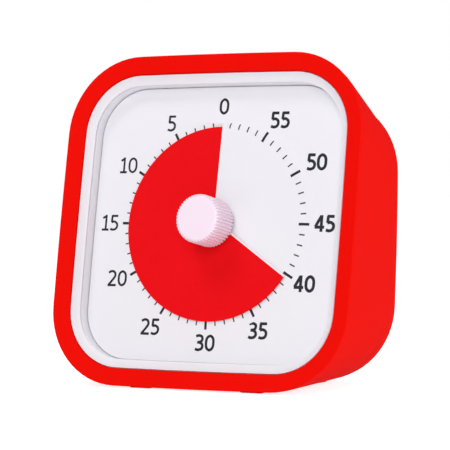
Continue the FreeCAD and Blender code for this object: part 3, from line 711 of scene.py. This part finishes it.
# Where each number's middle lies, and how wide its pen is.
NUMBER_AT = {0: (0.2, 33.1), 5: (-16.2, 28.5), 10: (-29.1, 16.6), 15: (-33.6, 0.1), 20: (-29.65, -15.7),
             25: (-17.65, -29.1), 30: (0.1, -33.1), 35: (16.2, -29.3), 40: (29.2, -16.2), 45: (33.95, 0.3),
             50: (30.2, 17.2), 55: (18.0, 29.0)}
PEN = {0: 0.72, 5: 0.64, 10: 0.6, 15: 0.62, 20: 0.66, 25: 0.7,
       30: 0.76, 35: 0.8, 40: 0.86, 45: 0.86, 50: 0.84, 55: 0.8}
OVERLAP = 0.004
print(len(FIGURES), "figures make", len(NUMBER_AT), "numbers")


# %% Pen strokes
def flowing(points, steps=5):
    """A smooth path through a stroke's points. Two points make a straight line."""
    if len(points) == 2:
        return [Vector(p) for p in points]
    knots = [Vector(p) for p in points]
    ring = knots[0] == knots[-1]
    before = knots[-2] if ring else 2 * knots[0] - knots[1]
    after = knots[1] if ring else 2 * knots[-1] - knots[-2]
    knots = [before] + knots + [after]
    path = []
    for a, b, c, d in zip(knots, knots[1:], knots[2:], knots[3:]):
        for i in range(steps):
            t = i / steps
            path.append(0.5 * (2 * b + (c - a) * t + (2 * a - 5 * b + 4 * c - d) * t ** 2
                               + (3 * b - a - 3 * c + d) * t ** 3))
    return path + [knots[-2]]


def stroke(points, pen, at, lift):
    """A low bar of ink along a path. Returns its points and faces."""
    path = flowing(points)
    ring = path[0] == path[-1]
    rows = []
    for i, p in enumerate(path):
        back = path[i - 1] if i else (path[-2] if ring else p)
        on = path[i + 1] if i + 1 < len(path) else (path[1] if ring else p)
        side = (on - back).normalized() * pen / 2
        x, y = p.x + at[0], p.y + at[1]
        rows += [(x + side.y, y - side.x, INK_LOW), (x + side.y, y - side.x, lift),
                 (x - side.y, y + side.x, lift), (x - side.y, y + side.x, INK_LOW)]
    faces = grid_faces(len(path), 4, False, True)
    return rows, faces + [(0, 1, 2, 3), tuple(len(rows) - 4 + k for k in range(4))]


def number(minute):
    """One number, centred on its place."""
    text, (x, y) = str(minute), NUMBER_AT[minute]
    wide = sum(FIGURES[c][0] for c in text) + FIGURE_GAP * (len(text) - 1)
    x -= wide / 2
    points, faces = [], []
    for character in text:
        width, strokes = FIGURES[character]
        for i, line in enumerate(strokes):
            more, quads = stroke(line, PEN[minute], (x, y - FIGURE_HIGH / 2), INK_HIGH + OVERLAP * i)
            faces += [tuple(k + len(points) for k in quad) for quad in quads]
            points += more
        x += width + FIGURE_GAP
    return new_piece("number_%02d" % minute, points, faces, ink, "case", 40)


# %% Print the twelve numbers
for minute in NUMBER_AT:
    number(minute)

# %% [markdown]
# ## The red sheet
#
# The red disc is a thin sheet on a hub, slit like the dial and climbing at the
# same pitch, so that it screws itself through the dial's slit. A flat sector
# would be simpler, but it couldn't go through the slit. Its leading edge shows
# the minutes left, and a narrow margin along that edge is left unprinted.

# %% Make the red sheet with its bare margin
RED_R, HUB_R, HUB_HALF = 27.3, 4.1, 1.6
# The red shows 240 degrees, or 40 minutes. Its leading edge passes the middle at a small distance.
SHOWN, SWEEP = 240.0, 359.0
EDGE_OFF, MARGIN = 1.27, 0.55
STEPS = 240
red_radii = [HUB_R - 0.3, 6, 8, 10, 13, 16, 19, 22, 25, 26.6, 27.15, RED_R]


def lead_edge(r, off):
    """Angle of the leading edge at radius r, from straight up. The edge passes the middle at a distance."""
    straight = math.degrees(math.asin(min(0.95, off / r)))
    return SLIT + SHOWN + straight - math.degrees(math.asin(EDGE_OFF / RED_R))


def red_height(degrees):
    return RED_FRONT + PITCH * (degrees - SLIT) / 360


def spiral_sheet(name, near, far, finish, steps):
    """A sheet between two edges, given as functions of the radius, that climbs at the common pitch."""
    loops = []
    for i in range(steps + 1):
        front = []
        for r in red_radii:
            degrees = mix(near(r), far(r), i / steps)
            front.append((r, degrees, red_height(degrees)))
        back = [(r, degrees, z - RED_THICK) for r, degrees, z in reversed(front)]
        loops.append([polar(*p) for p in front + back])
    count = len(loops[0])
    faces = grid_faces(steps + 1, count, False, True)
    faces += [tuple(range(count)), tuple(range(steps * count, (steps + 1) * count))]
    return new_piece(name, [p for loop in loops for p in loop], faces, finish, "time_disc", 30)


red_sheet = spiral_sheet("red_sheet", lambda r: lead_edge(r, EDGE_OFF) - SWEEP,
                         lambda r: lead_edge(r, EDGE_OFF - MARGIN), disc_red, STEPS)
spiral_sheet("red_sheet_margin", lambda r: lead_edge(r, EDGE_OFF - MARGIN), lambda r: lead_edge(r, EDGE_OFF),
             sheet_edge, 2)


# %% [markdown]
# ## The hub
#
# The red sheet sits on a small round hub with a keyed hole. It could be a
# cylinder with a hole cut through, but a turned shape does both at once: a
# profile of radius and height, swept round the shaft. The knob uses the same
# helper, so it takes a ripple that can be cut out of the radius.

# %% A helper for turned shapes, and the hub
def turned(name, profile, steps, finish, body, ripple=None, smooth=35):
    """Sweeps a closed profile round the shaft. ripple(angle, z, r) is taken off the radius."""
    rows = []
    for i in range(steps):
        a = 2 * math.pi * i / steps
        row = []
        for r, z in profile:
            out = r - (ripple(a, z, r) if ripple else 0)
            row.append((out * math.cos(a), out * math.sin(a), z))
        rows.append(row)
    faces = grid_faces(steps, len(profile), True, True)
    return new_piece(name, [p for row in rows for p in row], faces, finish, body, smooth, weld=0.0005)


HUB_BORE = 2.6
hub_profile = soften([(HUB_BORE, -HUB_HALF), (HUB_R, -HUB_HALF), (HUB_R, HUB_HALF), (HUB_BORE, HUB_HALF)],
                     [0.1, 0.3, 0.3, 0.1], closed=True)
turned("red_sheet_hub", hub_profile, 64, disc_red, "time_disc")
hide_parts("red_disc")

# %% [markdown]
# ## The knob
#
# The knob is a moulded drum with a finely ribbed grip and a rounded front edge.
# The ribs could be forty-four bars joined to a cylinder. Letting the radius
# follow a wave while the profile is swept makes them in one go, and they fade
# out on the rounded edge by themselves.

# %% The ribbed knob
KNOB_R, KNOB_TOP, KNOB_BASE = 6.8, 10.3, 1.4
CROWN, CROWN_STEPS = 1.5, 10
BORE_R, BORE_TOP, AXIS_R = 2.55, 8.3, 0.02
RECESS_R, RECESS_TOP = 4.8, 3.1
RIBS, RIB_DEEP, RIB_STEPS = 44, 0.5, 10
RIB_FADE = 0.8


def rib(angle, z, r):
    """Depth of the groove between two ribs. The grooves run out on the rounded front edge."""
    if r < KNOB_R - CROWN + 0.05:
        return 0.0
    wave = 0.5 - 0.5 * math.cos(RIBS * angle)
    return RIB_DEEP * (1 - ease(wave * 1.5)) * ease((KNOB_TOP - z) / RIB_FADE)


knob_corners = [(BORE_R, RECESS_TOP), (BORE_R, BORE_TOP), (AXIS_R, BORE_TOP), (AXIS_R, KNOB_TOP),
                (KNOB_R, KNOB_TOP), (KNOB_R, KNOB_BASE), (RECESS_R, KNOB_BASE), (RECESS_R, RECESS_TOP)]
knob_profile = soften(knob_corners, [0, 0, 0, 0, CROWN, 0.3, 0.1, 0], steps=CROWN_STEPS, closed=True)
first = next(i for i, p in enumerate(knob_profile) if abs(p.x - KNOB_R) < 1e-6)
long_top, long_base = knob_profile[first].y, knob_profile[first + 1].y
knob_profile[first + 1:first + 1] = [Vector((KNOB_R, mix(long_top, long_base, f))) for f in (0.33, 0.67)]
knob = turned("ribbed_knob", knob_profile, RIBS * RIB_STEPS, knob_pink, "knob_and_shaft",
              rib, 60)
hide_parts("knob")

# %% [markdown]
# ## The floor and the world
#
# The photograph has a plain white ground. A white backdrop lit brightly would
# wash out the timer's whites, so the floor glows a little by itself and looks
# brighter to the camera than it is lit. It still takes the timer's shadow. The
# world is white to the camera, also through anything clear, and dim to
# everything else.

# %% The floor
FLOOR_GLOW, SEEN_GLOW = 0.12, 0.67


def ground():
    """A softly glowing white floor that the camera and reflections see brighter."""
    finish = Finish("studio floor")
    seen = finish.seen_by("Is Camera Ray", "Is Glossy Ray", "Is Transmission Ray")
    glow = finish.node("ShaderNodeEmission", {}, {"Strength": seen * SEEN_GLOW + FLOOR_GLOW})
    white = finish.node("ShaderNodeBsdfDiffuse", {}, {"Color": srgb(236, 236, 238)})
    both = finish.node("ShaderNodeAddShader", {}, {0: white, 1: glow})
    finish.tree.links.new(both.socket, finish.tree.nodes["Material Output"].inputs["Surface"])
    finish.tree.nodes.remove(finish.shader)
    return finish.material


FLOOR = 6.0
floor_mesh = bpy.data.meshes.new("floor")
floor_mesh.from_pydata([(-FLOOR, -FLOOR, 0), (FLOOR, -FLOOR, 0), (FLOOR, FLOOR, 0), (-FLOOR, FLOOR, 0)], [],
                       [(0, 1, 2, 3)])
floor_mesh.materials.append(ground())
floor = bpy.data.objects.new("floor", floor_mesh)
bpy.context.scene.collection.objects.link(floor)
floor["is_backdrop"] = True
print("the floor is", 2 * FLOOR, "m wide")

# %% The world
WORLD_LIGHT = 0.3
world = bpy.data.worlds.new("studio")
bpy.context.scene.world = world
world.use_nodes = True
sky = Web(world.node_tree)
background = sky.tree.nodes["Background"]
background.inputs["Color"].default_value = (1, 1, 1, 1)
brightness = sky.seen_by("Is Camera Ray", "Is Transmission Ray") * (1 - WORLD_LIGHT) + WORLD_LIGHT
sky.tree.links.new(brightness.socket, background.inputs["Strength"])
print("the world lights the timer at", WORLD_LIGHT)

# %% [markdown]
# ## The lamps
#
# The photograph's light is very even, with a faint shadow beside the knob. One
# large lamp in front could do it alone, but the cover's side would be dark. So
# a large lamp in front lights the dial, a smaller one above gives the knob its
# shadow, and one behind the plane of the dial lights the side of the cover
# without reaching into the window.

# %% Three soft lamps
def soft_lamp(name, place, size, watts, aim):
    """A square area lamp that points at a spot."""
    light = bpy.data.lights.new(name, "AREA")
    light.energy, light.size = watts, size
    lamp = bpy.data.objects.new(name, light)
    bpy.context.scene.collection.objects.link(lamp)
    lamp.location = place
    lamp.rotation_euler = (Vector(aim) - Vector(place)).to_track_quat("-Z", "Y").to_euler()
    print(name, "lamp of", watts, "W")
    return lamp


DIAL_MIDDLE = STAND @ Vector((0, 0, 0))
soft_lamp("front", (0.35, -1.2, 0.45), 0.9, 7.1, DIAL_MIDDLE)
soft_lamp("side", (1.2, 0.3, 0.3), 0.8, 8.5, DIAL_MIDDLE)
soft_lamp("key", (-0.3, -0.6, 1.1), 0.5, 4.0, DIAL_MIDDLE)

# %% [markdown]
# ## The camera
#
# The camera stands where the photographer's did, so that the picture can be
# laid over the photograph. It could be placed by eye, but then the perspective
# would never quite agree. Its place, aim and lens were worked out from the
# minute marks and the outline of the cover. The place is in the face frame.

# %% The camera, from the photograph's own perspective
EYE = (305.0, -86.0, 549.0)
HEADING, RISE, ROLL = math.radians(28.78), math.radians(7.79), math.radians(4.69)
LENS, SENSOR = 183.4, 36.0
forward = Vector((-math.sin(HEADING) * math.cos(RISE), math.sin(RISE), -math.cos(HEADING) * math.cos(RISE)))
right = forward.cross(Vector((0, 1, 0))).normalized()
above = right.cross(forward)
tilt_right = right * math.cos(ROLL) + above * math.sin(ROLL)
tilt_above = above * math.cos(ROLL) - right * math.sin(ROLL)
aim = Matrix((tilt_right, tilt_above, -forward)).transposed()
stand_turn = Matrix((across, up_face, facing)).transposed()
camera_data = bpy.data.cameras.new("camera")
camera_data.lens, camera_data.sensor_width = LENS, SENSOR
camera_data.clip_start, camera_data.clip_end = 0.01, 50
camera = bpy.data.objects.new("camera", camera_data)
bpy.context.scene.collection.objects.link(camera)
camera.matrix_world = Matrix.Translation(STAND @ Vector(EYE)) @ (stand_turn @ aim).to_4x4()
bpy.context.scene.camera = camera
bpy.context.scene.view_settings.view_transform = "Standard"
print("the camera is", round((camera.location - DIAL_MIDDLE).length, 3), "m from the dial")

# %% [markdown]
# ## The two boxes
#
# The sizes of the construction model's box and of the dressed timer's box are
# printed, so that they can be compared. The dressed timer has to stay inside
# the construction model's box.

# %% Print the sizes of both boxes and finish
boxes = {"cad": [list(v) for v in solid_box], "visual": [list(v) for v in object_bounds()]}
for name, (low, high) in boxes.items():
    print(name, [round((b - a) * 1000, 2) for a, b in zip(low, high)])
